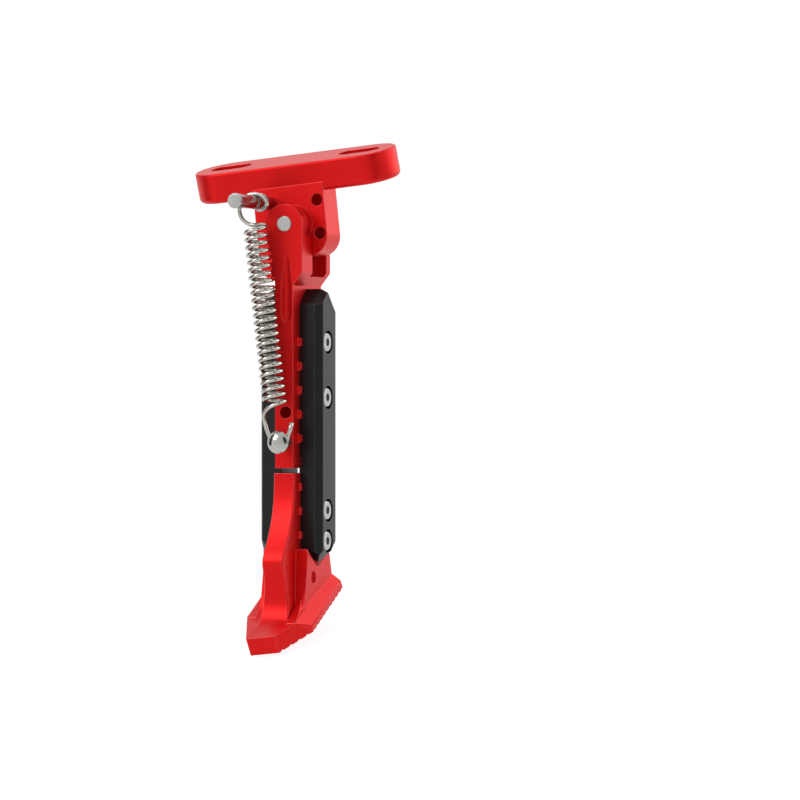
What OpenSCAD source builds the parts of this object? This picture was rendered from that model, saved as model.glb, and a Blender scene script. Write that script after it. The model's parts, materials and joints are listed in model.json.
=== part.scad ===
// Folding prop stand for a scooter deck: a slotted bracket, a two-piece leg clamped
// between two toothed side bars, and an over-centre tension spring on two posts.
// Origin: centre of the bracket plate's top face. +Z out of that face, +X along the
// plate, +Y away from the kick side. The leg is drawn in its own frame: origin on the
// pivot axis at the front ear's face, +Y along the pin, -Z down the leg.

/* [Bracket plate] */
// Length of the plate
plate_l = 84; // [82:0.5:100]
// Width of the plate
plate_w = 25; // [24:0.5:30]
// Thickness of the plate
plate_t = 12; // [11:0.5:14]
// Fillet round the plate's top edge
plate_top_r = 0.8; // [0.4:0.1:1.2]
// Fillet round the plate's bottom edge
plate_bottom_r = 2; // [1:0.1:2.5]
// Distance between the two slot centres
slot_spacing = 54.5; // [50:0.5:56]
// Length of a slot, end to end
slot_l = 17; // [14:0.5:18]
// Width of a slot
slot_w = 8.5; // [6:0.5:9]

/* [Pivot] */
// Pivot axis right of the plate's centre
pivot_x = 1.5; // [0:0.5:2.5]
// Front ear's face in front of the plate's centre
pivot_y = -26.3; // [-28:0.1:-25]
// Pivot axis below the plate's top, at the front ear's face
pivot_z = -20.6; // [-24:0.1:-20]
// Tilt of the pivot and leg toward the kick side
splay = 13.5; // [12:0.5:15]
// Lean of the deployed leg past square
lean = 6; // [5:0.5:7]
// Diameter of the pivot pin
pin_d = 6; // [5:0.5:6.5]
// Length of pin that shows in front of the front ear
pin_proud = 0.5; // [0.3:0.1:1]
// Outer diameter of the bush in the block
bush_d = 8; // [7.5:0.5:9]

/* [Bracket block] */
// Width of the block across the plate's middle
block_w = 29.6; // [28:0.2:32]
// Thickness of the block between the ears
block_t = 13.2; // [12.5:0.1:14]
// Depth of the block below the pivot axis
block_drop = 13; // [12:0.5:14]
// Radius of the block's lower right corner
block_r = 8; // [7.5:0.5:9]
// Radius of the boss round the pivot
boss_r = 7.5; // [7:0.1:8]
// Height of the boss in front of the block
boss_h = 5.6; // [4.5:0.1:6.5]
// Diameter of a tapped hole
tapped_d = 4.8; // [4:0.1:5]
// Depth of a tapped hole
tapped_depth = 9; // [7:0.5:10]
// Tapped hole right of the pivot
tapped_x = 10.3; // [9.5:0.1:10.5]
// Upper tapped hole above the pivot
tapped_high = 8.5; // [7:0.1:9]
// Lower tapped hole below the pivot
tapped_low = 4.5; // [3:0.1:5]

/* [Leg] */
// Thickness of the front ear
ear_t = 4.2; // [3.8:0.1:5]
// Thickness of the back ear
back_ear_t = 3.8; // [3.4:0.1:4.5]
// Outer radius of the ears
ear_r = 7.6; // [7.2:0.1:8]
// Width of the leg's core
core_w = 7.5; // [7:0.1:8.5]
// Depth of the leg's core, front to back
core_d = 25; // [24:0.5:27]
// Lower end of the upper leg, below the pivot
leg_end = 95; // [94:0.1:95.5]
// Width of the lug that meets the block as the stop
lug_x = 14; // [13:0.5:14.5]
// Floor of the window under the block, below the pivot
window_floor = 20.5; // [20:0.5:22]
// Level where the shoulders end, below the pivot
shoulder_end = 24; // [23:0.1:24]
// Width of the flute in the front face
flute_w = 4.6; // [4:0.1:5]
// Depth of the flute
flute_depth = 1.5; // [1:0.1:2]
// Upper end of the flute, below the pivot
flute_top = 8.5; // [8.5:0.5:12]
// Lower end of the flute, below the pivot
flute_end = 39.5; // [30:0.5:44]

/* [Rack] */
// Distance between rack teeth, which sets the steps of leg length
tooth_pitch = 9.4; // [9.3:0.1:9.6]
// Height of a tooth along the leg
tooth_h = 3.6; // [3:0.1:4.2]
// Height of a tooth out of the core's side
tooth_out = 1.4; // [1:0.1:1.8]
// First tooth below the pivot
tooth_first = 45.9; // [45.5:0.1:46.5]
// Front of the teeth behind the leg's front face
tooth_y = 5; // [4:0.5:6]
// Clearance of a tooth in its notch
tooth_gap = 0.15; // [0.1:0.05:0.3]

/* [Side bars] */
// Thickness of a bar across the leg
bar_t = 8.9; // [8:0.1:10]
// Front of a bar behind the leg's front face
bar_y = 6.5; // [6.2:0.1:7.5]
// Depth of a bar, front to back
bar_d = 16; // [15:0.5:17]
// Upper end of a bar, below the pivot
bar_top = 24.6; // [24.4:0.1:26]
// Lower tip of a bar, below the pivot
bar_end = 131.4; // [130.5:0.1:132]
// Chamfer down the front edge of the right bar
bar_chamfer = 2.6; // [1.5:0.1:3]
// Chamfer down the other long edges
edge_chamfer = 0.8; // [0.4:0.1:1.2]

/* [Clamp screws] */
// Diameter of a clamp screw
screw_d = 4; // [3.5:0.5:4.5]
// Diameter of a clamp screw's head
screw_head_d = 7.5; // [7:0.1:8]
// Height of a clamp screw's head
screw_head_h = 2.4; // [2:0.1:2.6]
// Diameter of the recess round a head
recess_d = 9.2; // [8.6:0.1:9.6]
// Depth of the recess round a head
recess_depth = 2.6; // [2.2:0.1:3]
// Wall that is left between a screw's end and the left bar's outside
screw_end_wall = 2.5; // [2:0.1:3]
// Clamp screws behind the leg's front face
screw_y = 14.4; // [13.5:0.1:15]
// Levels of the upper leg's two screws, below the pivot
upper_screws = [46, 67.5]; // [46:0.1:68]
// Levels of the foot's two screws, below the pivot
lower_screws = [111.5, 123.4]; // [111:0.1:124]

/* [Foot] */
// Gap between the upper leg and the foot at this length setting
foot_gap = 2; // [1.5:0.1:2.4]
// Width of the front rib
rib_w = 8.8; // [8.2:0.1:9.5]
// Half width of the toe
toe_x = 6; // [5.5:0.1:6.5]
// Outer side of the wide part of the sole
sole_x = 15; // [14:0.1:16]
// Inner side of the sole, left of the leg's middle
sole_left = 12.4; // [11.5:0.1:13]
// Length of the sole
sole_l = 53.5; // [52:0.5:55]
// Length of the toe's taper
taper_l = 16; // [14:0.5:18]
// Outer face of the foot's right cheek
cheek_x = 9.3; // [9:0.1:10]
// Front of the cheek behind the leg's front face
cheek_y = 1.4; // [1:0.1:3]
// Back of the foot behind the leg's front face
heel_y = 24; // [23.5:0.5:25]
// Lean of the parked deck, which sets the sole's slope
park_lean = 12.2; // [11:0.1:14]
// Thickness of the sole
rim_h = 7.3; // [6.5:0.1:8]
// Height of the sole's upright side, below its bevel
side_h = 3.2; // [2.5:0.1:4]
// Lowest point of the toe, below the pivot
toe_drop = 167.3; // [166:0.1:169]
// Distance between the grip ridges under the sole
ridge_pitch = 3.9; // [3.4:0.1:4.4]
// Depth of the grooves between the ridges
ridge_depth = 1; // [0.6:0.1:1.3]

/* [Spring] */
// Wire diameter of the spring
wire_d = 1.6; // [1.4:0.1:1.7]
// Outer diameter of the spring's coil
coil_d = 10.1; // [9.6:0.1:10.4]
// Number of turns in the coil
coil_turns = 23; // [20:1:24]
// Length of the coil
coil_l = 68; // [66:0.5:69]
// Coil starts this far below the upper post
coil_start = 10.4; // [10.2:0.1:11]
// Radius of the top ring at the wire's centre
ring_r = 6; // [5.8:0.1:6.2]
// Spring's plane in front of the leg's front face
spring_y = 6; // [5.9:0.1:6.4]
// Upper post left of the pivot, square to the block
post_x = 9.7; // [9.4:0.1:10]
// Upper post above the pivot, square to the block
post_z = 9.5; // [9:0.1:9.8]
// Lower post right of the leg's middle
low_post_x = 0.6; // [0:0.1:0.8]
// Lower post below the pivot
low_post_z = 84.9; // [84.5:0.1:85.3]
// Radius of both posts where the wire runs
groove_r = 2.1; // [1.9:0.1:2.2]
// Radius of the sleeves beside the groove
sleeve_r = 2.8; // [2.6:0.1:3]
// Diameter of the screws that carry the sleeves
post_screw_d = 3; // [2.5:0.1:3.2]
// Length of the upper post in front of the leg's front face
upper_post_reach = 24; // [22:0.5:25]
// Length of the lower post in front of the leg's front face
lower_post_reach = 9.6; // [9.4:0.1:11]
// Diameter of the lower post's domed head
dome_d = 8.8; // [8.4:0.1:9.2]

/* [Clearances] */
// Running clearance all round the pin
run_gap = 0.04; // [0.02:0.01:0.08]
// Seating clearance of pressed and screwed pieces
seat_gap = 0.02; // [0.02:0.01:0.04]
// Side clearance each side of a thrust washer
side_gap = 0.1; // [0.05:0.05:0.15]
// Thickness of a thrust washer
washer_t = 0.5; // [0.4:0.1:0.6]
// Gap at the stop, and round the block's swing
swing_gap = 0.3; // [0.2:0.05:0.4]

/* [Hidden] */
$fn = 48;
far = 400;
red = "#d8141a";
black = "#26282a";
steel = "#d2d4d6";

block_y = ear_t + 2 * side_gap + washer_t + boss_h;
block_back = block_y + block_t;
back_ear_y = block_back + 2 * side_gap + washer_t;
head_back = back_ear_y + back_ear_t;
block_left = -block_w / 2 - pivot_x;
block_right = block_w / 2 - pivot_x;
plate_seat = 3.7; // the block's front face meets the plate's side this far above its underside
sweep_r = norm([block_right - block_r, block_drop - block_r]) + block_r + swing_gap;
window_left = -sqrt(sweep_r * sweep_r - block_drop * block_drop) - 1;
relief = 0.1; // the window is this much wider than the slot above it, each side
pocket_r = boss_r + swing_gap;
half_core = core_w / 2;
bar_x = half_core + bar_t;
foot_top = leg_end + foot_gap;
tooth_count = 9;
bar_back = bar_y + bar_d;
screw_levels = concat(upper_screws, lower_screws);
screw_seat = bar_x - recess_depth;
screw_tip = -bar_x + screw_end_wall;

// ---- frames ----
module in_block() translate([pivot_x, pivot_y, pivot_z]) rotate([-splay, 0, 0]) children();
module in_leg() in_block() rotate([0, lean, 0]) children();
module along_y(y0, y1) translate([0, y1, 0]) rotate([90, 0, 0]) linear_extrude(y1 - y0) children();
module along_x(x0, x1) translate([x0, 0, 0]) rotate([90, 0, 90]) linear_extrude(x1 - x0) children();
module pin_bore(y0, y1, r) translate([0, y0, 0]) rotate([-90, 0, 0]) cylinder(h = y1 - y0, r = r);
module cross_bore(x0, x1, r, level)
    translate([x0, screw_y, -level]) rotate([0, 90, 0]) cylinder(h = x1 - x0, r = r);

// ---- mount bracket ----
module plate_section() {
    half = plate_w / 2;
    translate([0, plate_bottom_r]) square([half, plate_t - plate_bottom_r - plate_top_r]);
    square([half - plate_bottom_r, plate_t]);
    translate([half - plate_bottom_r, plate_bottom_r]) circle(plate_bottom_r);
    translate([0, plate_t - plate_top_r - 0.1]) square([half - plate_top_r, plate_top_r + 0.1]);
    translate([half - plate_top_r, plate_t - plate_top_r]) circle(plate_top_r);
}

module plate_body() {
    run = (plate_l - plate_w) / 2;
    translate([0, 0, -plate_t]) {
        for (side = [-1, 1]) translate([side * run, 0, 0]) rotate_extrude() plate_section();
        along_x(-run, run) {
            plate_section();
            mirror([1, 0]) plate_section();
        }
    }
}

module slot_outline() {
    reach = (slot_l - slot_w) / 2;
    for (side = [-1, 1]) translate([side * reach, 0]) circle(d = slot_w);
    square([2 * reach, slot_w], center = true);
}

module block_outline() {
    difference() {
        translate([block_left, -block_drop]) square([block_w, block_drop + 2 * plate_t]);
        translate([block_right - block_r, -block_drop]) square(block_r);
    }
    translate([block_right - block_r, block_r - block_drop]) circle(block_r);
}

module mount_bracket() color(red) difference() {
    union() {
        plate_body();
        difference() {
            in_block() along_y(block_y, block_back) block_outline();
            translate([-far / 2, -far / 2, plate_seat - plate_t]) cube(far);
        }
        in_block() pin_bore(block_y - boss_h, block_y + 1, boss_r);
    }
    for (side = [-1, 1]) translate([side * slot_spacing / 2, 0, -plate_t - 1])
        linear_extrude(plate_t + 2) slot_outline();
    in_block() {
        pin_bore(block_y - boss_h - 1, block_back + 1, bush_d / 2 + seat_gap);
        for (level = [tapped_high, -tapped_low]) translate([tapped_x, 0, level])
            pin_bore(block_y - 1, block_y + tapped_depth, tapped_d / 2);
        translate([-post_x, 0, post_z])
            pin_bore(block_y - 1, block_y + tapped_depth, post_screw_d / 2 + seat_gap);
    }
}

// ---- pivot ----
module ring(y0, y1, outer, inner) difference() {
    pin_bore(y0, y1, outer);
    pin_bore(y0 - 1, y1 + 1, inner);
}

module pivot_bush() color("#b08d3c") in_block()
    ring(block_y - boss_h, block_back, bush_d / 2, pin_d / 2 + run_gap);

module front_thrust_washer() color("#e8e6df") in_block()
    ring(ear_t + side_gap, ear_t + side_gap + washer_t, boss_r - 0.4, pin_d / 2 + run_gap);

module back_thrust_washer() color("#e8e6df") in_block()
    ring(block_back + side_gap, block_back + side_gap + washer_t, boss_r - 0.4, pin_d / 2 + run_gap);

clip_t = 0.8;
clip_seat = 1.9;
clip_y = head_back + 0.15;

module pivot_pin() color(steel) in_leg() {
    pin_bore(-pin_proud + 0.3, clip_y, pin_d / 2);
    translate([0, 0.3 - pin_proud, 0]) rotate([90, 0, 0]) cylinder(h = 0.3, r1 = pin_d / 2, r2 = pin_d / 2 - 0.3);
    pin_bore(clip_y, clip_y + clip_t + 0.1, clip_seat);
    pin_bore(clip_y + clip_t + 0.1, clip_y + clip_t + 1.4, pin_d / 2);
}

module pin_clip() color("#3a3c3f") in_leg() along_y(clip_y + 0.05, clip_y + 0.05 + clip_t) difference() {
    circle(r = pin_d / 2 + 1.8);
    circle(r = clip_seat + 0.05);
    translate([-1.3, -far]) square([2.6, far]);
    for (side = [-1, 1]) translate([side * 2.4, 2.2]) circle(r = 0.6);
}

// ---- upper leg ----
module ear_outline() {
    circle(ear_r);
    polygon([[-ear_r, 0], [-ear_r, -4], [-half_core - 0.4, -17], [-half_core, -shoulder_end - 2],
        [half_core, -shoulder_end - 2], [half_core, -shoulder_end], [ear_r, -19], [ear_r, 0]]);
}

module head_outline() polygon([[-lug_x, -11], [-lug_x, -19.5], [-half_core, -shoulder_end],
    [-half_core, -shoulder_end - 2], [half_core, -shoulder_end - 2], [half_core, -shoulder_end],
    [ear_r, -19], [ear_r, -11]]);

module back_ear_outline() {
    circle(ear_r);
    polygon([[-ear_r, 0], [-lug_x, -11], [ear_r, -11], [ear_r, 0]]);
    head_outline();
}

module tooth_section(grow = 0) polygon([
    for (side = [-1, 1]) [0, side * (tooth_h / 2 + grow)],
    for (side = [1, -1]) [tooth_out + grow, side * (tooth_h / 2 + grow - 0.5)]]);

module rack(first, last, grow = 0) for (i = [first:last], side = [0, 1]) mirror([side, 0, 0])
    translate([half_core, 0, -tooth_first - i * tooth_pitch])
        along_y(tooth_y - grow, core_d - 1 + grow) tooth_section(grow);

module flute() {
    r = (flute_w * flute_w / 4 + flute_depth * flute_depth) / (2 * flute_depth);
    long = flute_end - flute_top;
    translate([1, flute_depth - r, -flute_end]) rotate_extrude()
        polygon([[0, 0], [r - 0.8, 1.5], [r, 4], [r, long - 16], [r - flute_depth * 1.2, long], [0, long]]);
}

module upper_leg() color(red) in_leg() difference() {
    union() {
        along_y(0, ear_t) ear_outline();
        intersection() {
            along_y(ear_t - 1, block_y + 1) ear_outline();
            translate([-far / 2, 0, -far - 4]) cube(far);
        }
        along_y(block_y, head_back) head_outline();
        along_y(back_ear_y, head_back) back_ear_outline();
        translate([-half_core, 0, -leg_end]) cube([core_w, core_d, leg_end - shoulder_end]);
        rack(0, 4);
    }
    // room for the boss and the block, whose square corner is the stop
    pin_bore(ear_t, block_y, pocket_r);
    rotate([0, -lean, 0]) translate([-far / 2, block_y - side_gap, -block_drop - 0.05])
        cube([far, back_ear_y - block_y + side_gap, far]);
    translate([window_left, block_y - side_gap - relief, -window_floor])
        cube([far, back_ear_y - block_y + side_gap + 2 * relief, far]);
    pin_bore(-1, head_back + 1, pin_d / 2 + seat_gap);
    flute();
    translate([low_post_x, 0, -73.3]) pin_bore(-1, 11, tapped_d / 2);
    translate([low_post_x, 0, -low_post_z]) pin_bore(-1, 10, post_screw_d / 2 + seat_gap);
    for (level = upper_screws) cross_bore(-20, 20, screw_d / 2 + 0.1, level);
}

// ---- side bars ----
module bar_side_outline() polygon([[bar_y, -bar_top - 4.5], [bar_y + 3.5, -bar_top],
    for (a = [60:-15:0]) [bar_back - 9 + 9 * cos(a), -bar_top - 11 + 11 * sin(a)],
    [bar_back, -bar_end + 8.5], [bar_y + 6, -bar_end], [bar_y + 4.5, -bar_end], [bar_y, -bar_end + 4]]);

module bar_plan(chamfer) polygon([[half_core, bar_y], [bar_x - chamfer, bar_y],
    [bar_x, bar_y + chamfer], [bar_x, bar_back - edge_chamfer],
    [bar_x - edge_chamfer, bar_back], [half_core, bar_back]]);

module bar_front_outline() polygon([[half_core, -bar_top], [bar_x, -bar_top], [bar_x, -bar_end + 4],
    [bar_x - 3, -bar_end], [bar_x - 4, -bar_end], [half_core, -bar_end + 7]]);

module side_bar(chamfer) difference() {
    intersection() {
        along_x(half_core, bar_x) bar_side_outline();
        translate([0, 0, -bar_end - 1]) linear_extrude(bar_end) bar_plan(chamfer);
        along_y(bar_y - 1, bar_back + 1) bar_front_outline();
    }
    rack(0, tooth_count - 1, tooth_gap);
}

module left_side_bar() color(black) in_leg() difference() {
    mirror([1, 0, 0]) side_bar(edge_chamfer);
    for (level = screw_levels) cross_bore(screw_tip - 0.3, 0, screw_d / 2 + seat_gap, level);
}

module right_side_bar() color(black) in_leg() difference() {
    side_bar(bar_chamfer);
    for (level = screw_levels) {
        cross_bore(0, far, screw_d / 2 + 0.1, level);
        cross_bore(screw_seat, far, recess_d / 2, level);
    }
}

// ---- clamp screws ----
module clamp_screw(level) color(steel) in_leg() difference() {
    union() {
        cross_bore(screw_tip, screw_seat, screw_d / 2, level);
        cross_bore(screw_seat, screw_seat + screw_head_h - 0.4, screw_head_d / 2, level);
        translate([screw_seat + screw_head_h - 0.4, screw_y, -level]) rotate([0, 90, 0])
            cylinder(h = 0.4, r1 = screw_head_d / 2, r2 = screw_head_d / 2 - 0.4);
    }
    translate([screw_seat + 0.8, screw_y, -level]) rotate([0, 90, 0])
        for (turn = [0, 30]) rotate(turn) cylinder(h = screw_head_h, r = 1.7, $fn = 6);
}
module clamp_screw_1() clamp_screw(screw_levels[0]);
module clamp_screw_2() clamp_screw(screw_levels[1]);
module clamp_screw_3() clamp_screw(screw_levels[2]);
module clamp_screw_4() clamp_screw(screw_levels[3]);

// ---- foot ----
sole_slope = splay + park_lean; // slope of the sole against the leg's own level
module sole_frame() translate([0, -18.7, -toe_drop]) rotate([0, -lean, 0]) rotate([sole_slope, 0, 0]) children();

module rib_side() polygon([[0, -foot_top], [0, -foot_top - 3], [-0.6, -107], [-1.9, -112.5],
    [-5, -119.5], [-11.2, -129.5], [-11.8, -131.5], [-11.3, -134], [-8.8, -139.5], [-8.2, -142.5],
    [-8.4, -146], [-9.6, -151], [-12.5, -157], [-6, -158], [20, -145], [heel_y - 1.6, -126],
    [core_d - 3, -foot_top - 20], [core_d - 3, -foot_top]]);

module cheek_side() polygon([[cheek_y, -126.5], [cheek_y - 1.8, -143], [-10.7, -155.2],
    [-7.3, -158.6], [26.9, -142.2], [28.6, -142.2], [heel_y + 1.6, -136], [heel_y - 1.2, -127.4],
    [bar_y + 7, -bar_end - 1.8], [bar_y + 4, -bar_end - 1.8]]);

module sole_section() polygon([[-sole_left, 0], [sole_x, 0], [sole_x, side_h], [cheek_x + 2.2, rim_h],
    [-sole_left, rim_h]]);

module sole_plan() polygon([[-toe_x, 0], [toe_x, 0], [sole_x, taper_l], [sole_x, sole_l],
    [-sole_left, sole_l], [-sole_left, taper_l + 4]]);

module sole() sole_frame() intersection() {
    linear_extrude(rim_h) sole_plan();
    translate([0, 90, 0]) rotate([90, 0, 0]) linear_extrude(180) sole_section();
}

// fillet between the cheek's outer face and the sole's bevel
module cheek_foot() sole_frame() intersection() {
    translate([0, sole_l, 0]) rotate([90, 0, 0]) linear_extrude(sole_l - taper_l + 4)
        polygon([[0, side_h], [cheek_x + 2.2, rim_h - 0.01], [cheek_x + 0.2, rim_h + 5.5], [0, rim_h + 5.5]]);
    linear_extrude(60) sole_plan();
}

module grip_grooves() for (i = [0:13]) translate([0, 1 + i * ridge_pitch, 0])
    along_x(-20, 30) polygon([[-0.2, -1], [1.6, -1], [1.4, ridge_depth], [0, 0]]);

// the bars' room beside the core, with a gap round their lower ends
module bar_room() polygon([[bar_y - 0.4, 0], [bar_y - 0.4, -bar_end + 3.4], [bar_y + 4.2, -bar_end - 0.6],
    [bar_y + 6.4, -bar_end - 0.6], [bar_back + 0.6, -bar_end + 8.2], [far, -bar_end + 8.2], [far, 0]]);

module foot() color(red) in_leg() difference() {
    union() {
        along_x(-rib_w / 2, rib_w / 2) rib_side();
        along_x(-cheek_x, cheek_x) cheek_side();
        cheek_foot();
        sole();
    }
    // the core is clamped between the bars
    for (side = [0, 1]) mirror([side, 0, 0]) difference() {
        along_x(half_core, half_core + 10) bar_room();
        rack(6, 8);
    }
    for (level = lower_screws) cross_bore(-20, 20, screw_d / 2 + 0.1, level);
    translate([cheek_x - 1, 6, -140]) cube([3, 2.6, 5]);
    sole_frame() grip_grooves();
}

// ---- spring posts ----
groove_half = wire_d / 2 + 0.3;

module sleeve(y0, y1) difference() {
    union() {
        pin_bore(y0, y1, groove_r);
        pin_bore(-spring_y + groove_half, y1, sleeve_r);
        pin_bore(y0, -spring_y - groove_half, sleeve_r);
    }
    pin_bore(y0 - 1, y1 + 1, post_screw_d / 2 + seat_gap);
}

module in_upper_post() in_block() translate([-post_x, 0, post_z]) children();
module in_lower_post() in_leg() translate([low_post_x, 0, -low_post_z]) children();

flange_l = 9.4;
flange_r = 3.6;

module upper_post_screw() color(steel) in_upper_post() {
    pin_bore(-upper_post_reach + 2.2, block_y + tapped_depth - 1, post_screw_d / 2);
    pin_bore(-upper_post_reach + 0.5, -upper_post_reach + 2.2, sleeve_r + 0.2);
    translate([0, -upper_post_reach + 0.5, 0]) rotate([90, 0, 0])
        cylinder(h = 0.5, r1 = sleeve_r + 0.2, r2 = sleeve_r - 0.3);
}

module upper_post_sleeve() color(steel) in_upper_post()
    sleeve(-upper_post_reach + 2.2, block_y - flange_l);

module upper_post_flange() color(steel) in_upper_post() difference() {
    union() {
        pin_bore(block_y - flange_l, block_y - flange_l + 1.6, flange_r);
        translate([0, block_y - flange_l + 1.6, 0]) rotate([-90, 0, 0])
            cylinder(h = 2, r1 = flange_r, r2 = sleeve_r - 0.2);
        pin_bore(block_y - flange_l + 3.6, block_y, sleeve_r - 0.2);
    }
    pin_bore(-1, block_y + 1, post_screw_d / 2 + seat_gap);
}

dome_y = -spring_y - groove_half;
dome_h = 2;
dome_r = (dome_d * dome_d / 4 + dome_h * dome_h) / (2 * dome_h);

module lower_post_screw() color(steel) in_lower_post() {
    pin_bore(dome_y, 9, post_screw_d / 2);
    pin_bore(-lower_post_reach + dome_h, dome_y, dome_d / 2);
    intersection() {
        translate([0, -lower_post_reach + dome_r, 0]) sphere(dome_r);
        pin_bore(-lower_post_reach, -lower_post_reach + dome_h, dome_d / 2);
    }
}

module lower_post_sleeve() color(steel) in_lower_post()
    difference() {
        union() {
            pin_bore(dome_y, 0, groove_r);
            pin_bore(-spring_y + groove_half, 0, sleeve_r);
        }
        pin_bore(-20, 1, post_screw_d / 2 + seat_gap);
    }

// ---- spring: one swept wire from hook to hook ----
coil_r = (coil_d - wire_d) / 2;
rings_per_turn = 8;
upper_post_in_leg = [-post_x * cos(lean) - post_z * sin(lean), post_z * cos(lean) - post_x * sin(lean)];
spring_run = [low_post_x, -low_post_z] - upper_post_in_leg;
spring_l = norm(spring_run);
spring_turn = atan2(spring_run[0], -spring_run[1]);
wrap_r = groove_r + wire_d / 2 + 0.15;
ring_v = ring_r - wrap_r;

function bezier(a, b, c, d, t) = pow(1 - t, 3) * a + 3 * t * pow(1 - t, 2) * b
    + 3 * t * t * (1 - t) * c + pow(t, 3) * d;

// u to the right, w back from the spring's plane, v down from the upper post
ring_points = [for (a = [-265:20:-5]) [ring_r * sin(a), 0, ring_v + ring_r * cos(a)]];
coil_points = [for (i = [0:coil_turns * rings_per_turn])
    let (a = i * 360 / rings_per_turn)
    [coil_r * cos(a), -coil_r * sin(a), coil_start + i * coil_l / (coil_turns * rings_per_turn)]];
coil_end = coil_start + coil_l;
lead_in = [for (t = [0.2:0.2:0.8]) bezier([0, 0, ring_v + ring_r], [2.8, 0, ring_v + ring_r],
    [coil_r, 3, coil_start - 0.5], [coil_r, 0, coil_start], t)];
hook_u = -5.1;
hook_v = spring_l - 8.2;
lead_out = [for (t = [0.12:0.11:0.9]) bezier([coil_r, 0, coil_end], [coil_r, -5.4, coil_end + 0.9],
    [hook_u, -4.6, coil_end + 1.1], [hook_u, 0, hook_v], t)];
hook_points = concat([[hook_u, 0, hook_v], [-4.7, 0, spring_l - 5.4], [-3.9, 0, spring_l - 2.6]],
    [for (a = [-80:20:80]) [wrap_r * sin(a), 0, spring_l + wrap_r * cos(a)]],
    [[3.9, 0, spring_l - 2], [5.2, 0, spring_l - 4.4], [6.1, 0, spring_l - 7]]);
wire_path = concat(ring_points, lead_in, coil_points, lead_out, hook_points);

function unit(v) = v / norm(v);
function tangent(p, i) = unit(p[min(i + 1, len(p) - 1)] - p[max(i - 1, 0)]);
function carried(n, t) = unit(n - t * (n * t));
function normals(p, i, n) = i == len(p) ? [] :
    let (m = carried(n, tangent(p, i))) concat([m], normals(p, i + 1, m));

module wire(p, r) {
    sides = 6;
    up = normals(p, 0, [0, 1, 0.01]);
    points = [for (i = [0:len(p) - 1], k = [0:sides - 1])
        let (t = tangent(p, i), n = up[i], a = k * 360 / sides)
        p[i] + r * (cos(a) * n + sin(a) * cross(t, n))];
    last = (len(p) - 1) * sides;
    walls = [for (i = [0:len(p) - 2], k = [0:sides - 1])
        let (a = i * sides + k, b = i * sides + (k + 1) % sides)
        each [[a, a + sides, b], [b, a + sides, b + sides]]];
    caps = [for (k = [1:sides - 2]) each [[0, k, k + 1], [last, last + k + 1, last + k]]];
    polyhedron(points, concat(walls, caps));
}

// least gap of the wire to itself, past the next few rings
wire_gap = min([for (i = [0:len(wire_path) - 8], j = [i + 7:len(wire_path) - 1])
    norm(wire_path[i] - wire_path[j])]) - wire_d;
echo(least_gap_of_spring_to_itself_mm = wire_gap, rings = len(wire_path));

module spring() color(steel) in_leg()
    translate([upper_post_in_leg[0], -spring_y, upper_post_in_leg[1]]) rotate([0, -spring_turn, 0])
        mirror([0, 0, 1]) wire(wire_path, wire_d / 2);

mount_bracket();
pivot_bush();
front_thrust_washer();
back_thrust_washer();
pivot_pin();
pin_clip();
upper_leg();
foot();
left_side_bar();
right_side_bar();
clamp_screw_1();
clamp_screw_2();
clamp_screw_3();
clamp_screw_4();
upper_post_screw();
upper_post_flange();
upper_post_sleeve();
lower_post_screw();
lower_post_sleeve();
spring();
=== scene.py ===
import bpy
import bmesh
import json
from math import cos, sin, pi, radians, atan2
from mathutils import Vector, Matrix


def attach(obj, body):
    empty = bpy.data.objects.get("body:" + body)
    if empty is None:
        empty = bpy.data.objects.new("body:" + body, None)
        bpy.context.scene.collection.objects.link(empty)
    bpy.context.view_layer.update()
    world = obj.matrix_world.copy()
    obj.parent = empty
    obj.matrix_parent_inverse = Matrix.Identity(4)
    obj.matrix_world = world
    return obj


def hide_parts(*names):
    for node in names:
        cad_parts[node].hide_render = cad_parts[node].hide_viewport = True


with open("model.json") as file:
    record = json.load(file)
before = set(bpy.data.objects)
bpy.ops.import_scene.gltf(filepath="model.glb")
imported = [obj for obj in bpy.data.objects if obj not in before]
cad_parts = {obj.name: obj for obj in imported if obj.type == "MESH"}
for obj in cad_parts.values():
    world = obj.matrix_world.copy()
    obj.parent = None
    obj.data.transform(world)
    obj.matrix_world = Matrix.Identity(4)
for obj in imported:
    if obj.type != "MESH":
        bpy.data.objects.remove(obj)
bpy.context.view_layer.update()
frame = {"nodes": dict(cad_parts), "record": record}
mm = 0.001

# the leg's own frame: tilted toward the kick side, leaning past square
stand = {"pivot": (1.5, -26.3, -20.6), "splay": 13.5, "lean": 6.0}
blockTurn = Matrix.Rotation(radians(-stand["splay"]), 4, "X")
blockFrame = Matrix.Translation(Vector(stand["pivot"]) * mm) @ blockTurn
legFrame = blockFrame @ Matrix.Rotation(radians(stand["lean"]), 4, "Y")


def legPoint(x, y, z):
    return legFrame @ Vector((x * mm, y * mm, z * mm))


def legDirection(x, y, z):
    return (legFrame.to_3x3() @ Vector((x, y, z))).normalized()


# ---- camera ----
print("camera")
cameraSetup = {"azimuth": 23.0, "distance": 2.6, "pxPerMm": 2.564, "frameWidth": 800,
               "target": (0.4, 10.0, -68.5), "targetX": 295.0, "targetY": 400.0, "sensor": 36.0}


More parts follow.
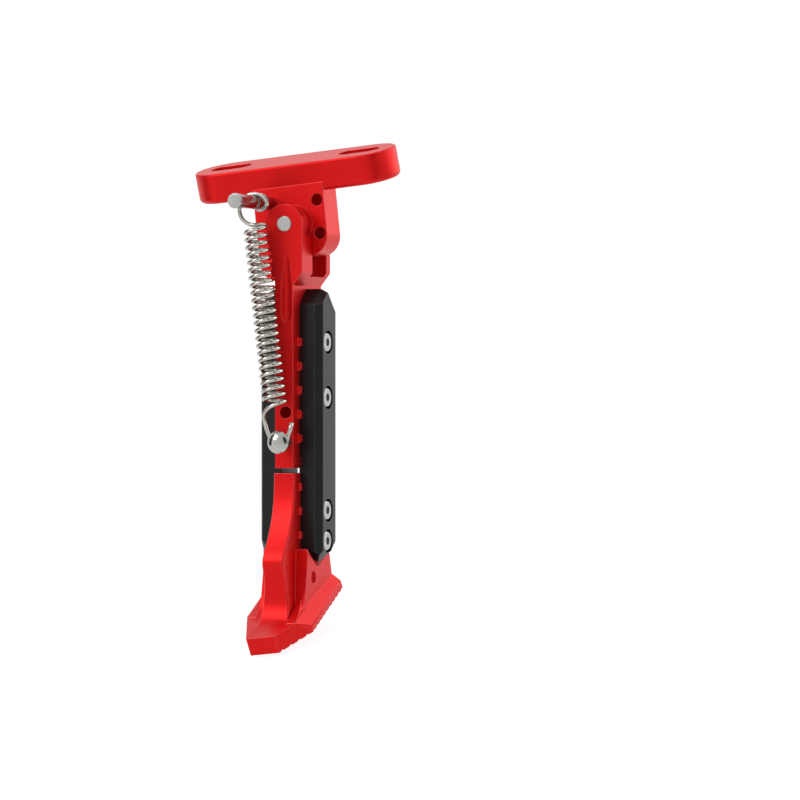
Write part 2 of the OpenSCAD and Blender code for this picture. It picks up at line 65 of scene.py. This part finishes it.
def addCamera(setup):
    side = radians(setup["azimuth"])
    data = bpy.data.cameras.new("camera")
    camera = bpy.data.objects.new("camera", data)
    bpy.context.scene.collection.objects.link(camera)
    right = legDirection(cos(side), sin(side), 0)
    up = legDirection(0, 0, 1)
    back = legDirection(sin(side), -cos(side), 0)
    place = legPoint(*setup["target"]) + back * setup["distance"]
    turn = Matrix((right, up, back)).transposed().to_4x4()
    camera.matrix_world = Matrix.Translation(place) @ turn
    data.sensor_width = setup["sensor"]
    pxPerM = setup["pxPerMm"] / mm
    data.lens = pxPerM * setup["distance"] / setup["frameWidth"] * setup["sensor"]
    data.shift_x = (setup["frameWidth"] / 2 - setup["targetX"]) / setup["frameWidth"]
    data.shift_y = (setup["targetY"] - setup["frameWidth"] / 2) / setup["frameWidth"]
    data.clip_end = 20
    bpy.context.scene.camera = camera
    return camera


camera = addCamera(cameraSetup)


# ---- materials ----
print("materials")
# noise runs from low to high; an edge gets the painted highlight between the two dot products
surface = {"noiseLow": 0.3, "noiseHigh": 0.7, "edgeStart": 0.995, "edgeFull": 0.90, "glossUnder": 0.04,
           "glossOver": 0.05, "bumpShare": 0.25, "bevelSamples": 6, "plainSheen": 0.5}


def toLinear(code):
    parts = [int(code[i:i + 2], 16) / 255 for i in (1, 3, 5)]
    return [c / 12.92 if c <= 0.04045 else ((c + 0.055) / 1.055) ** 2.4 for c in parts] + [1.0]


def addNode(tree, kind, settings=None, links=None):
    node = tree.nodes.new(kind)
    for name, value in (settings or {}).items():
        if name in node.inputs:
            node.inputs[name].default_value = value
        else:
            setattr(node, name, value)
    for name, source in (links or {}).items():
        tree.links.new(source, node.inputs[name])
    return node


def newMaterial(name, colour):
    material = bpy.data.materials.new(name)
    material.use_nodes = True
    material.diffuse_color = toLinear(colour)
    tree = material.node_tree
    tree.nodes.clear()
    return material, tree


def finishMaterial(tree, shader):
    output = addNode(tree, "ShaderNodeOutputMaterial")
    tree.links.new(shader.outputs["BSDF"], output.inputs["Surface"])


def surfaceMetal(name, look):
    material, tree = newMaterial(name, look["colour"])
    place = addNode(tree, "ShaderNodeTexCoord").outputs["Object"]
    grain = addNode(tree, "ShaderNodeTexNoise", {"Scale": 1 / (look["grain"] * mm), "Detail": 3.0,
                    "Roughness": 0.6}, {"Vector": place})
    cloud = addNode(tree, "ShaderNodeTexNoise", {"Scale": 1 / (look["cloud"] * mm), "Detail": 2.0},
                    {"Vector": place})
    tone = addNode(tree, "ShaderNodeValToRGB", None, {"Fac": cloud.outputs["Fac"]})
    tone.color_ramp.elements[0].position = surface["noiseLow"]
    tone.color_ramp.elements[1].position = surface["noiseHigh"]
    tone.color_ramp.elements[0].color = toLinear(look["dark"])
    tone.color_ramp.elements[1].color = toLinear(look["colour"])
    softEdge = addNode(tree, "ShaderNodeBevel", {"samples": surface["bevelSamples"],
                       "Radius": look["edge"] * mm})
    flat = addNode(tree, "ShaderNodeNewGeometry")
    sameWay = addNode(tree, "ShaderNodeVectorMath", {"operation": "DOT_PRODUCT"})
    tree.links.new(softEdge.outputs["Normal"], sameWay.inputs[0])
    tree.links.new(flat.outputs["Normal"], sameWay.inputs[1])
    # painted highlight: a lighter colour mixed in along the rounded edges, where the bevel normal turns away
    # from the face's normal
    edgeHighlightMask = addNode(tree, "ShaderNodeMapRange", {"From Min": surface["edgeStart"],
                     "From Max": surface["edgeFull"], "To Min": 0.0, "To Max": look["edgeHighlightShare"]},
                     {"Value": sameWay.outputs["Value"]})
    colourWithEdgeHighlight = addNode(tree, "ShaderNodeMix", {"data_type": "RGBA"})
    tree.links.new(edgeHighlightMask.outputs["Result"], colourWithEdgeHighlight.inputs["Factor"])
    tree.links.new(tone.outputs["Color"], colourWithEdgeHighlight.inputs[6])  # colour A
    colourWithEdgeHighlight.inputs[7].default_value = toLinear(look["edgeHighlightColour"])  # colour B
    gloss = addNode(tree, "ShaderNodeMapRange", {"From Min": surface["noiseLow"],
                    "From Max": surface["noiseHigh"], "To Min": look["rough"] - surface["glossUnder"],
                    "To Max": look["rough"] + surface["glossOver"]}, {"Value": grain.outputs["Fac"]})
    bump = addNode(tree, "ShaderNodeBump", {"Strength": look["bump"],
                   "Distance": look["grain"] * surface["bumpShare"] * mm},
                   {"Height": grain.outputs["Fac"], "Normal": softEdge.outputs["Normal"]})
    shader = addNode(tree, "ShaderNodeBsdfPrincipled",
                     {"Metallic": look["metallic"],
                      "Specular IOR Level": look.get("sheen", surface["plainSheen"])},
                     {"Base Color": colourWithEdgeHighlight.outputs[2], "Roughness": gloss.outputs["Result"],
                      "Normal": bump.outputs["Normal"]})
    finishMaterial(tree, shader)
    return material


# in each look below, the edge colour and its share paint a highlight along the rounded edges
# aluminium, fine bead blasted and dyed red in the oxide: deep colour under a satin skin
redAluminium = surfaceMetal("anodisedAluminiumRed", {
    "colour": "#e01415", "dark": "#d81112", "edgeHighlightColour": "#f9676a", "metallic": 0.45, "rough": 0.36,
    "grain": 0.22, "cloud": 14, "edge": 0.35, "edgeHighlightShare": 0.8, "bump": 0.10, "sheen": 0.18})
# aluminium, fine bead blasted and dyed black: grey sheen on faces turned to the light
blackAluminium = surfaceMetal("anodisedAluminiumBlack", {
    "colour": "#17191a", "dark": "#131515", "edgeHighlightColour": "#6a6d6f", "metallic": 0.3, "rough": 0.36,
    "grain": 0.25, "cloud": 11, "edge": 0.35, "edgeHighlightShare": 0.6, "bump": 0.10, "sheen": 0.3})
# steel, turned and bright: near mirror with fine tool marks
turnedSteel = surfaceMetal("turnedSteelBright", {
    "colour": "#b2b3b0", "dark": "#a2a3a0", "edgeHighlightColour": "#e4e4e2", "metallic": 1.0, "rough": 0.2,
    "grain": 0.16, "cloud": 6, "edge": 0.2, "edgeHighlightShare": 0.3, "bump": 0.08})
# spring wire, drawn and nickel plated: bright with a warm cast
springWire = surfaceMetal("nickelPlatedSpringWire", {
    "colour": "#b9b6af", "dark": "#a9a69e", "edgeHighlightColour": "#dcdad4", "metallic": 1.0, "rough": 0.12,
    "grain": 0.2, "cloud": 5, "edge": 0.1, "edgeHighlightShare": 0.0, "bump": 0.06})
# spring steel, phosphated: dark grey and dry
darkSteel = surfaceMetal("phosphatedSteelDark", {
    "colour": "#4a4c4e", "dark": "#3e4042", "edgeHighlightColour": "#8d8f91", "metallic": 0.8, "rough": 0.45,
    "grain": 0.2, "cloud": 4, "edge": 0.1, "edgeHighlightShare": 0.4, "bump": 0.15})
# sintered bronze: brown gold with open pores
sinteredBronze = surfaceMetal("sinteredBronze", {
    "colour": "#a9793b", "dark": "#8f6430", "edgeHighlightColour": "#c79a5a", "metallic": 0.9, "rough": 0.4,
    "grain": 0.18, "cloud": 3, "edge": 0.1, "edgeHighlightShare": 0.2, "bump": 0.3})
# nylon, moulded and undyed: milky white with a soft shine
naturalNylon = surfaceMetal("naturalNylon", {
    "colour": "#e6e2d6", "dark": "#dcd7c9", "edgeHighlightColour": "#f0ede4", "metallic": 0.0, "rough": 0.45,
    "grain": 0.3, "cloud": 4, "edge": 0.1, "edgeHighlightShare": 0.1, "bump": 0.08})

finishOf = {"red_anodised": redAluminium, "black_anodised": blackAluminium, "bright_steel": turnedSteel,
            "spring_wire": springWire, "dark_steel": darkSteel, "bronze": sinteredBronze,
            "nylon": naturalNylon}

for row in frame["record"]["subparts"]:
    piece = frame["nodes"][row["node"]]
    piece.data.materials.clear()
    piece.data.materials.append(finishOf[row["material_slot"]])

# ---- spring, as smooth round wire ----
print("spring")
spring = {"wireD": 1.6, "coilD": 10.1, "turns": 23, "coilLength": 68.0, "coilStart": 10.4, "ringR": 6.0,
          "plane": 6.0, "postX": 9.7, "postZ": 9.5, "lowPostX": 0.6, "lowPostZ": 84.9, "grooveR": 2.1,
          "hookX": -5.1, "hookRise": 8.2, "wrapGap": 0.15, "topHookFrom": -265, "topHookSteps": 27,
          "lowHookFrom": -80, "lowHookSteps": 17, "stepDegrees": 10, "leadSteps": 8, "crossSteps": 11,
          "perTurn": 20, "sides": 14,
          "beforePost": [(-4.7, 5.4), (-3.9, 2.6)], "afterPost": [(3.9, 2), (5.2, 4.4), (6.1, 7)]}


def bezierPoint(a, b, c, d, t):
    a, b, c, d = Vector(a), Vector(b), Vector(c), Vector(d)
    return (1 - t) ** 3 * a + 3 * t * (1 - t) ** 2 * b + 3 * t * t * (1 - t) * c + t ** 3 * d


def springPath(s):
    lean = radians(stand["lean"])
    topPost = Vector((-s["postX"] * cos(lean) - s["postZ"] * sin(lean), 0,
                      s["postZ"] * cos(lean) - s["postX"] * sin(lean)))
    run = Vector((s["lowPostX"], 0, -s["lowPostZ"])) - topPost
    length = run.length
    coilR = (s["coilD"] - s["wireD"]) / 2
    wrapR = s["grooveR"] + s["wireD"] / 2 + s["wrapGap"]
    ringV = s["ringR"] - wrapR
    ringLow = ringV + s["ringR"]
    coilStart, coilEnd = s["coilStart"], s["coilStart"] + s["coilLength"]
    path = []
    for i in range(s["topHookSteps"]):  # top hook, from its open end over the post and round to the coil
        a = radians(s["topHookFrom"] + i * s["stepDegrees"])
        path.append(Vector((s["ringR"] * sin(a), 0, ringV + s["ringR"] * cos(a))))
    for i in range(1, s["leadSteps"]):
        path.append(bezierPoint((0, 0, ringLow), (2.8, 0, ringLow), (coilR, 3, coilStart - 0.5),
                                (coilR, 0, coilStart), i / s["leadSteps"]))
    rings = s["turns"] * s["perTurn"]
    for i in range(rings + 1):
        a = i * 2 * pi / s["perTurn"]
        path.append(Vector((coilR * cos(a), -coilR * sin(a), coilStart + i * s["coilLength"] / rings)))
    for i in range(1, s["crossSteps"] + 1):  # across the front of the coil and down to the lower hook
        path.append(bezierPoint((coilR, 0, coilEnd), (coilR, -5.4, coilEnd + 0.9),
                                (s["hookX"], -4.6, coilEnd + 1.1),
                                (s["hookX"], 0, length - s["hookRise"]), i / s["crossSteps"]))
    path += [Vector((x, 0, length - up)) for x, up in s["beforePost"]]
    for i in range(s["lowHookSteps"]):
        a = radians(s["lowHookFrom"] + i * s["stepDegrees"])
        path.append(Vector((wrapR * sin(a), 0, length + wrapR * cos(a))))
    path += [Vector((x, 0, length - up)) for x, up in s["afterPost"]]
    turn = atan2(run.x, -run.z)
    across = Vector((cos(turn), 0, sin(turn)))
    down = Vector((sin(turn), 0, -cos(turn)))
    hang = Vector((topPost.x, -s["plane"], topPost.z))
    return [legPoint(*(hang + p.x * across + Vector((0, p.y, 0)) + p.z * down)) for p in path]


def tubeMesh(name, path, radius, sides):
    verts, faces = [], []
    normal = Vector((0, 1, 0.01))
    for i, point in enumerate(path):
        ahead = (path[min(i + 1, len(path) - 1)] - path[max(i - 1, 0)]).normalized()
        normal = (normal - ahead * normal.dot(ahead)).normalized()
        other = ahead.cross(normal)
        for k in range(sides):
            a = k * 2 * pi / sides
            verts.append(point + radius * (cos(a) * normal + sin(a) * other))
    for i in range(len(path) - 1):
        for k in range(sides):
            n = (k + 1) % sides
            faces.append((i * sides + k, i * sides + n, (i + 1) * sides + n, (i + 1) * sides + k))
    faces.append(tuple(reversed(range(sides))))
    faces.append(tuple(range((len(path) - 1) * sides, len(path) * sides)))
    mesh = bpy.data.meshes.new(name)
    mesh.from_pydata(verts, [], faces)
    for face in mesh.polygons:
        face.use_smooth = len(face.vertices) == 4
    mesh.update()
    obj = bpy.data.objects.new(name, mesh)
    bpy.context.scene.collection.objects.link(obj)
    return obj


springPiece = tubeMesh("tension_spring_wire", springPath(spring), spring["wireD"] / 2 * mm, spring["sides"])
springPiece.data.materials.append(springWire)
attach(springPiece, "spring")
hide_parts("spring")

# ---- foot: the solid's form with its drawn-out toe, flared rib and smooth skirts ----
print("foot")
foot = {"soleSlope": 25.7, "soleY": -18.7, "toeDrop": 166.7, "rimH": 7.3, "sideH": 3.2, "toeX": 6.0,
        "soleX": 15.0, "soleLeft": 12.4, "soleL": 53.5, "taperL": 16.0, "cheekX": 9.3, "cheekY": 1.4,
        "halfCore": 3.75, "barY": 6.5, "barBack": 22.5, "barEnd": 131.4,
        "toothFirst": 45.9, "toothPitch": 9.4, "toothH": 3.6, "toothOut": 1.4, "ridgePitch": 3.9,
        "ridgeDepth": 1.0, "screwLevels": (111.5, 123.4), "screwY": 14.4, "screwR": 2.1,
        "dimple": (7.4, -137.4, 2.5), "edgeAngle": 32,
        "ribBack": 22, "ribInset": 4, "grooves": 14, "footTeeth": (6, 7, 8), "leftTaper": 9,
        "skirtRoot": 7.6, "skirtReach": 2.2, "roomGap": 0.4, "roomEndGap": 0.6, "roomTop": -60,
        "far": 60, "toothBack": 21.9, "toothFront": 5.02, "toothChamfer": 0.5, "dimpleDepth": 1}
# the skirt's stations: along the sole, rise over the rim, distance of its inner edge from the middle
skirtStations = [(9.8, 0.15, 11.4), (15, 0.5, 10.9), (20, 1.2, 10.3), (24.5, 3.0, 9.75), (29, 5.0, 9.5),
                 (34, 5.6, 9.45)]
# the rib's levels from the top down: below the pivot, front of the leg's face, half width
ribLevels = [(97, 0, 4.4), (100, 0, 4.4), (104, -0.3, 4.4), (108, -0.8, 4.4), (112.5, -1.9, 4.4),
             (116, -3.3, 4.4), (119.5, -5, 4.4), (123, -7, 4.4), (126.5, -9.3, 4.4), (129.5, -11.2, 4.4),
             (131.4, -11.8, 4.4), (133.4, -11.5, 4.4), (136, -10.3, 4.5), (139, -9.1, 4.7),
             (142, -8.4, 4.9), (146, -8.2, 5.2), (150, -8.7, 5.5), (153.5, -10.2, 5.8), (157.5, -14, 6)]
soleTurn = (Matrix.Rotation(radians(-stand["lean"]), 4, "Y")
            @ Matrix.Rotation(radians(foot["soleSlope"]), 4, "X"))
soleFrame = Matrix.Translation((0, foot["soleY"], -foot["toeDrop"])) @ soleTurn


def loftMesh(name, sections, place=None):
    count = len(sections[0])
    verts = [Vector(point) for section in sections for point in section]
    if place:
        verts = [place @ point for point in verts]
    faces = [tuple(range(count)), tuple(reversed(range(len(verts) - count, len(verts))))]
    for i in range(len(sections) - 1):
        for k in range(count):
            n = (k + 1) % count
            faces.append((i * count + k, (i + 1) * count + k, (i + 1) * count + n, i * count + n))
    mesh = bpy.data.meshes.new(name)
    mesh.from_pydata(verts, [], faces)
    shell = bmesh.new()
    shell.from_mesh(mesh)
    bmesh.ops.recalc_face_normals(shell, faces=shell.faces)
    shell.to_mesh(mesh)
    shell.free()
    obj = bpy.data.objects.new(name, mesh)
    bpy.context.scene.collection.objects.link(obj)
    return obj


def alongX(name, x0, x1, outline, place=None):
    return loftMesh(name, [[(x, y, z) for y, z in outline] for x in (x0, x1)], place)


def combine(base, tools, operation):
    for tool in tools:
        step = base.modifiers.new(operation, "BOOLEAN")
        step.operation = operation
        step.solver = "EXACT"
        step.object = tool
        bpy.context.view_layer.update()
        shaped = bpy.data.meshes.new_from_object(base.evaluated_get(bpy.context.evaluated_depsgraph_get()))
        base.modifiers.clear()
        base.data = shaped
        bpy.data.objects.remove(tool)
    return base


def ribSolid(levels):
    slope = radians(foot["soleSlope"])
    sections = []
    for z, y, w in levels:  # the back stays inside the sole
        solePlace = foot["soleY"] + (foot["toeDrop"] - z) * cos(slope) / sin(slope)
        back = min(foot["ribBack"], solePlace - foot["ribInset"])
        sections.append([(-w, back, -z), (-w, y + 0.5, -z), (0.5 - w, y, -z), (w - 0.5, y, -z),
                         (w, y + 0.5, -z), (w, back, -z)])
    return loftMesh("rib", sections)


def cheekOutline(f):
    end, y = f["barEnd"], f["cheekY"]
    front = [(y, -126.5), (y, -130), (y - 0.6, -136), (y - 1.7, -142), (y - 2.8, -146.8), (y - 4.4, -150),
             (y - 7.4, -152.8), (y - 10.4, -155.6)]
    rear = [(-6, -158.4), (26.9, -143.9), (29.2, -143.4), (25.9, -136.4), (23.2, -127.6)]
    return front + rear + [(f["barY"] + 7, -end - 1.8), (f["barY"] + 4, -end - 1.8)]


def soleSolid(f):
    plan = [(-f["toeX"], 0), (f["toeX"], 0), (f["soleX"], f["taperL"]), (f["soleX"], f["soleL"]),
            (-f["soleLeft"], f["soleL"]), (-f["soleLeft"], f["taperL"] + 4)]
    pad = loftMesh("sole", [[(x, y, z) for x, y in plan] for z in (0, f["rimH"])], soleFrame)
    width = [(-f["soleLeft"] - 1, -1), (f["soleX"] + 1, -1), (f["soleX"] + 1, 0), (f["soleX"], f["sideH"]),
             (f["cheekX"] + f["skirtReach"], f["rimH"]), (f["cheekX"] + f["skirtReach"], 12),
             (-f["soleLeft"] - 1, 12)]
    bevelled = loftMesh("bevel", [[(x, y, z) for x, z in width] for y in (-5, f["soleL"] + 5)], soleFrame)
    return combine(pad, [bevelled], "INTERSECT")


def skirtSolid(f, side):
    start = 0 if side > 0 else f["leftTaper"]  # the left side of the toe tapers for longer
    stations = skirtStations + [(f["soleL"] - 0.2 - start,) + skirtStations[-1][1:]]
    edge, root, rim = f["cheekX"] + f["skirtReach"], f["skirtRoot"], f["rimH"]
    sections = [[(side * root, y + start, f["sideH"]), (side * edge, y + start, rim - 0.02),
                 (side * (inner + edge) / 2, y + start, rim + rise * 0.3),
                 (side * inner, y + start, rim + rise), (side * root, y + start, rim + rise)]
                for y, rise, inner in stations]
    return loftMesh("skirt", sections, soleFrame)


def barRoom(f, side):
    y, end, far = f["barY"], -f["barEnd"], f["far"]
    front, below = y - f["roomGap"], end - f["roomEndGap"]
    outline = [(front, f["roomTop"]), (front, end + 3.4), (y + 4.2, below), (y + 6.4, below),
               (f["barBack"] + f["roomEndGap"], end + 8.2), (far, end + 8.2), (far, f["roomTop"])]
    return alongX("bar_room", side * f["halfCore"], side * 20, outline)


def toothSolid(f, step, side):
    level = -f["toothFirst"] - step * f["toothPitch"]
    half, face, edge = f["toothH"] / 2, f["halfCore"], f["toothChamfer"]
    out = face + f["toothOut"]
    rise = [(face - edge, -half), (face, -half), (out, edge - half), (out, half - edge), (face, half),
            (face - edge, half)]
    return loftMesh("tooth", [[(side * x, y, level + z) for x, z in rise]
                              for y in (f["toothFront"], f["toothBack"])])


def crossHole(level, x0, x1, y, radius):
    ring = [(y + radius * cos(k * pi / 16), level + radius * sin(k * pi / 16)) for k in range(32)]
    return alongX("hole", x0, x1, ring)


def gripGroove(f, step):
    start = 1 + step * f["ridgePitch"]
    return alongX("groove", -20, 30, [(start - 0.2, -1), (start + 1.6, -1), (start + 1.4, f["ridgeDepth"]),
                                      (start, f["ridgeDepth"] * 0.15)], soleFrame)


def inRowFrame(obj):
    # from the leg's frame in millimetres
    obj.data.transform(Matrix.Scale(mm, 4))
    obj.data.transform(legFrame)
    return obj


def smoothByAngle(obj, degrees):
    shell = bmesh.new()
    shell.from_mesh(obj.data)
    bmesh.ops.dissolve_limit(shell, angle_limit=radians(0.3), verts=shell.verts, edges=shell.edges)
    for face in shell.faces:
        face.smooth = True
    for edge in shell.edges:
        edge.smooth = len(edge.link_faces) == 2 and edge.calc_face_angle(0) < radians(degrees)
    shell.to_mesh(obj.data)
    shell.free()


def footSolid(f):
    base = alongX("foot_casting", -f["cheekX"], f["cheekX"], cheekOutline(f))
    combine(base, [ribSolid(ribLevels), skirtSolid(f, 1), skirtSolid(f, -1), soleSolid(f)], "UNION")
    cuts = [barRoom(f, 1), barRoom(f, -1)] + [gripGroove(f, i) for i in range(f["grooves"])]
    dimpleY, dimpleZ, dimpleR = f["dimple"]
    cuts.append(crossHole(dimpleZ, f["cheekX"] - f["dimpleDepth"], 14, dimpleY, dimpleR))
    combine(base, cuts, "DIFFERENCE")
    combine(base, [toothSolid(f, i, side) for i in f["footTeeth"] for side in (-1, 1)], "UNION")
    combine(base, [crossHole(-level, -20, 20, f["screwY"], f["screwR"]) for level in f["screwLevels"]],
            "DIFFERENCE")
    smoothByAngle(inRowFrame(base), f["edgeAngle"])
    return base


footPiece = footSolid(foot)
footPiece.data.materials.clear()
footPiece.data.materials.append(redAluminium)
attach(footPiece, "leg")
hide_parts("foot")

# ---- side bars: the solids with their ends cut to the photo's slopes ----
print("bars")
bars = {"outer": 12.65, "front": 6.5, "ridgeY": 13.5, "ridgeFlat": 14.2, "ridgeZ": -24.9, "frontSlope": 0.886,
        "rearSlope": 1.0, "bevelX": 9.4, "bevelFall": 0.55, "end": 131.4, "cornerRise": 9.8,
        "cornerIn": 5.6, "cornerBack": 5.5, "stationFront": 4, "stationBack": 25, "reach": 14,
        "cutInner": 2, "cutTop": -10, "cutDepth": 12, "widen": 4, "edgeAngle": 24}


def roofCut(b, side):
    front, back, ridge = b["stationFront"], b["stationBack"], b["ridgeZ"]
    stations = [(front, ridge - (b["ridgeY"] - front) * b["frontSlope"]), (b["ridgeY"], ridge),
                (b["ridgeFlat"], ridge), (back, ridge - (back - b["ridgeFlat"]) * b["rearSlope"])]
    inner, outer, fall = side * b["cutInner"], side * b["reach"], (b["reach"] - b["bevelX"]) * b["bevelFall"]
    sections = [[(inner, y, z), (side * b["bevelX"], y, z), (outer, y, z - fall), (outer, y, b["cutTop"]),
                 (inner, y, b["cutTop"])] for y, z in stations]
    return inRowFrame(loftMesh("roof", sections))


def cornerCut(b, side):
    level = -b["end"]
    corner = [Vector((side * b["outer"], b["front"], level + b["cornerRise"])),
              Vector((side * (b["outer"] - b["cornerIn"]), b["front"], level)),
              Vector((side * b["outer"], b["front"] + b["cornerBack"], level))]
    centre = (corner[0] + corner[1] + corner[2]) / 3
    wide = [centre + (point - centre) * b["widen"] for point in corner]
    away = (corner[1] - corner[0]).cross(corner[2] - corner[0]).normalized() * b["cutDepth"]
    if away.x * side < 0:
        away = -away
    return inRowFrame(loftMesh("corner", [wide, [point + away for point in wide]]))


def barPiece(b, nodeName, tools):
    node = frame["nodes"][nodeName]
    mesh = node.data.copy()
    mesh.transform(node.matrix_world)
    piece = bpy.data.objects.new(nodeName + "_look", mesh)
    bpy.context.scene.collection.objects.link(piece)
    combine(piece, tools, "DIFFERENCE")
    smoothByAngle(piece, b["edgeAngle"])
    piece.data.materials.clear()
    piece.data.materials.append(blackAluminium)
    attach(piece, "leg")
    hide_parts(nodeName)


barPiece(bars, "right_side_bar", [roofCut(bars, 1)])
barPiece(bars, "left_side_bar", [roofCut(bars, -1), cornerCut(bars, -1)])

# ---- studio ----
print("studio")
studio = {"floorDrop": 178.8, "floorSize": 6.0, "white": "#ffffff", "paper": "#f2f2f2", "paperGlow": 1.25,
          "glowShare": 0.72, "worldLevel": 0.47, "flag": "#0c0c0c", "lampAim": (0, 10, -70),
          "flagAim": (0, 0, -70)}
# places in the leg's frame in mm, sizes in m, power in W
lamps = [{"name": "key", "place": (-520, -640, 480), "size": (0.5, 0.5), "power": 4.6},
         {"name": "side", "place": (650, 600, 150), "size": (0.9, 1.0), "power": 4.8},
         {"name": "fill", "place": (-700, -300, -100), "size": (0.6, 0.8), "power": 0.8},
         {"name": "top", "place": (0, 100, 800), "size": (0.6, 0.4), "power": 0.8}]
flags = [{"name": "flagLeft", "place": (-560, -180, -20), "size": (0.34, 1.0)},
         {"name": "flagRight", "place": (520, -420, -20), "size": (0.30, 1.0)}]


def seenRays(tree):
    # 1 where the camera looks, straight or by way of metal or glass
    rays = addNode(tree, "ShaderNodeLightPath")
    seen = addNode(tree, "ShaderNodeMath", {"operation": "MAXIMUM"})
    tree.links.new(rays.outputs["Is Camera Ray"], seen.inputs[0])
    tree.links.new(rays.outputs["Is Glossy Ray"], seen.inputs[1])
    through = addNode(tree, "ShaderNodeMath", {"operation": "MAXIMUM"})
    tree.links.new(seen.outputs[0], through.inputs[0])
    tree.links.new(rays.outputs["Is Transmission Ray"], through.inputs[1])
    return through.outputs[0]


def aim(obj, place, target):
    obj.location = legPoint(*place)
    obj.rotation_euler = (legPoint(*target) - obj.location).to_track_quat("-Z", "Y").to_euler()


def flatPiece(name, width, height):
    mesh = bpy.data.meshes.new(name)
    x, y = width / 2, height / 2
    mesh.from_pydata([(-x, -y, 0), (x, -y, 0), (x, y, 0), (-x, y, 0)], [], [(0, 1, 2, 3)])
    obj = bpy.data.objects.new(name, mesh)
    bpy.context.scene.collection.objects.link(obj)
    return obj


def backdropMaterial(look):
    material, tree = newMaterial("paperWhite", look["white"])
    # matt white paper: seen as white, with the object's soft shadow kept
    share = addNode(tree, "ShaderNodeMath", {"operation": "MULTIPLY"})
    tree.links.new(seenRays(tree), share.inputs[0])
    share.inputs[1].default_value = look["glowShare"]
    paper = addNode(tree, "ShaderNodeBsdfDiffuse", {"Color": toLinear(look["paper"])})
    white = addNode(tree, "ShaderNodeEmission", {"Color": toLinear(look["white"]),
                    "Strength": look["paperGlow"]})
    mix = addNode(tree, "ShaderNodeMixShader")
    tree.links.new(share.outputs[0], mix.inputs["Fac"])
    tree.links.new(paper.outputs["BSDF"], mix.inputs[1])
    tree.links.new(white.outputs["Emission"], mix.inputs[2])
    output = addNode(tree, "ShaderNodeOutputMaterial")
    tree.links.new(mix.outputs["Shader"], output.inputs["Surface"])
    return material


def addFloor(look):
    floor = flatPiece("floor", look["floorSize"], look["floorSize"])
    floor.location = (0, 0, -look["floorDrop"] * mm)
    floor.data.materials.append(backdropMaterial(look))


def addLamp(lamp, look):
    data = bpy.data.lights.new(lamp["name"], "AREA")
    data.shape = "RECTANGLE"
    data.size, data.size_y = lamp["size"]
    data.energy = lamp["power"]
    obj = bpy.data.objects.new(lamp["name"], data)
    bpy.context.scene.collection.objects.link(obj)
    aim(obj, lamp["place"], look["lampAim"])


def addFlag(card, material, look):
    # a black card beside the camera, which draws the dark lines in bright metal
    flag = flatPiece(card["name"], *card["size"])
    aim(flag, card["place"], look["flagAim"])
    flag.data.materials.append(material)
    flag.visible_camera = False


def addWorld(look):
    world = bpy.data.worlds.new("world")
    world.use_nodes = True
    bpy.context.scene.world = world
    tree = world.node_tree
    tree.nodes.clear()
    white = toLinear(look["white"])
    around = addNode(tree, "ShaderNodeBackground", {"Color": white, "Strength": look["worldLevel"]})
    seen = addNode(tree, "ShaderNodeBackground", {"Color": white, "Strength": 1.0})
    mix = addNode(tree, "ShaderNodeMixShader")
    tree.links.new(seenRays(tree), mix.inputs["Fac"])
    tree.links.new(around.outputs["Background"], mix.inputs[1])
    tree.links.new(seen.outputs["Background"], mix.inputs[2])
    output = addNode(tree, "ShaderNodeOutputWorld")
    tree.links.new(mix.outputs["Shader"], output.inputs["Surface"])


flagBlack, flagTree = newMaterial("blackCard", studio["flag"])
finishMaterial(flagTree, addNode(flagTree, "ShaderNodeBsdfDiffuse", {"Color": toLinear(studio["flag"])}))
addFloor(studio)
for card in flags:
    addFlag(card, flagBlack, studio)
for lamp in lamps:
    addLamp(lamp, studio)
addWorld(studio)

bpy.context.scene.view_settings.view_transform = "Standard"

print("done")
